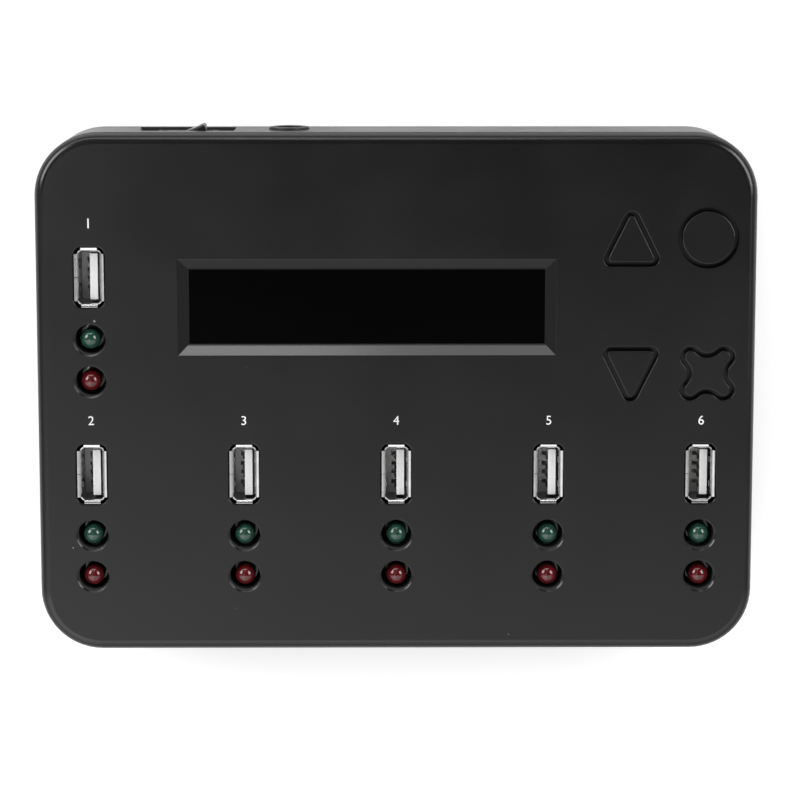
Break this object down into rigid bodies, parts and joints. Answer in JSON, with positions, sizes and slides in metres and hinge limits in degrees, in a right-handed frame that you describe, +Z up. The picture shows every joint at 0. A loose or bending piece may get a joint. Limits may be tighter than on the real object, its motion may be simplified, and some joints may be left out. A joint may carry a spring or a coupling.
{
  "type": "usb flash drive duplicator",
  "caption": "Flat black box with upright USB sockets and signal lamps in its face, a display window, push buttons, and a rocker switch and barrel jack in its rear wall.",
  "frame": {"origin": "centre of the housing's plan outline, at the surface that the rubber feet stand on", "axes": "+Z up out of the face with the sockets and buttons, +Y towards the rear wall with the power inlet, +X to the right seen from the front, along the row of target ports"},
  "size_m": [0.1736, 0.1272, 0.032],
  "materials": {
    "cover_black": "fine moulded texture, matte",
    "base_black": "fine moulded texture, matte",
    "button_black": "smooth matte",
    "window_black": "smoked, polished",
    "foot_rubber": "matte",
    "screw_steel": "black zinc",
    "small_screw_steel": "bright zinc",
    "socket_steel": "nickel plated",
    "socket_white": "moulded",
    "contact_gold": "gold flash",
    "green_lens": "clear tinted resin",
    "red_lens": "clear tinted resin",
    "lead_tin": "tinned",
    "board_green": "solder mask",
    "chip_black": "moulded",
    "crystal_can": "bright can",
    "coil_grey": "ferrite",
    "capacitor_can": "bright can",
    "display_glass": "polished",
    "display_backlight": "frosted",
    "display_frame": "black oxide",
    "header_plastic": "moulded",
    "switch_black": "moulded",
    "rocker_black": "satin",
    "wire_red": "insulated wire",
    "jack_black": "moulded"
  },
  "bodies": {
    "housing": {"top_cover": "cover_black", "bottom_cover": "base_black", "display_window": "window_black", "rubber_feet": "foot_rubber", "cover_screws": "screw_steel", "small_screws": "small_screw_steel", "display_glass": "display_glass", "display_backlight": "display_backlight", "display_frame": "display_frame", "display_board": "board_green", "display_header": "header_plastic", "display_header_pins": "lead_tin", "main_board": "board_green", "controller_chip": "chip_black", "memory_chip": "chip_black", "port_chips": "chip_black", "clock_crystal": "crystal_can", "power_coils": "coil_grey", "capacitors": "capacitor_can", "usb_contacts": "contact_gold", "lamp_leads": "lead_tin", "button_switches": "switch_black", "rocker_housing": "rocker_black", "rocker_terminals": "lead_tin", "power_wires": "wire_red", "power_jack": "jack_black", "power_jack_contacts": "lead_tin", "usb_shell_1": "socket_steel", "usb_insulator_1": "socket_white", "green_lamp_1": "green_lens", "red_lamp_1": "red_lens", "usb_shell_2": "socket_steel", "usb_insulator_2": "socket_white", "green_lamp_2": "green_lens", "red_lamp_2": "red_lens", "usb_shell_3": "socket_steel", "usb_insulator_3": "socket_white", "green_lamp_3": "green_lens", "red_lamp_3": "red_lens", "usb_shell_4": "socket_steel", "usb_insulator_4": "socket_white", "green_lamp_4": "green_lens", "red_lamp_4": "red_lens", "usb_shell_5": "socket_steel", "usb_insulator_5": "socket_white", "green_lamp_5": "green_lens", "red_lamp_5": "red_lens", "usb_shell_6": "socket_steel", "usb_insulator_6": "socket_white", "green_lamp_6": "green_lens", "red_lamp_6": "red_lens"},
    "up_button": {"up_button": "button_black", "up_switch_plunger": "switch_black"},
    "down_button": {"down_button": "button_black", "down_switch_plunger": "switch_black"},
    "round_button": {"round_button": "button_black", "round_switch_plunger": "switch_black"},
    "cross_button": {"cross_button": "button_black", "cross_switch_plunger": "switch_black"},
    "power_rocker": {"power_rocker": "rocker_black"}
  },
  "joints": [
    {"name": "up_press", "type": "slide", "parent": "housing", "child": "up_button", "axis": [0, 0, -1], "range_m": [0, 0.0004], "stiffness_N_per_m": 1500, "springref_m": -0.0005},
    {"name": "down_press", "type": "slide", "parent": "housing", "child": "down_button", "axis": [0, 0, -1], "range_m": [0, 0.0004], "stiffness_N_per_m": 1500, "springref_m": -0.0005},
    {"name": "round_press", "type": "slide", "parent": "housing", "child": "round_button", "axis": [0, 0, -1], "range_m": [0, 0.0004], "stiffness_N_per_m": 1500, "springref_m": -0.0005},
    {"name": "cross_press", "type": "slide", "parent": "housing", "child": "cross_button", "axis": [0, 0, -1], "range_m": [0, 0.0004], "stiffness_N_per_m": 1500, "springref_m": -0.0005},
    {"name": "power_switch", "type": "hinge", "parent": "housing", "child": "power_rocker", "pos_m": [-0.051, 0.05935, 0.0123], "axis": [0, 0, -1], "range_deg": [0, 22]}
  ]
}
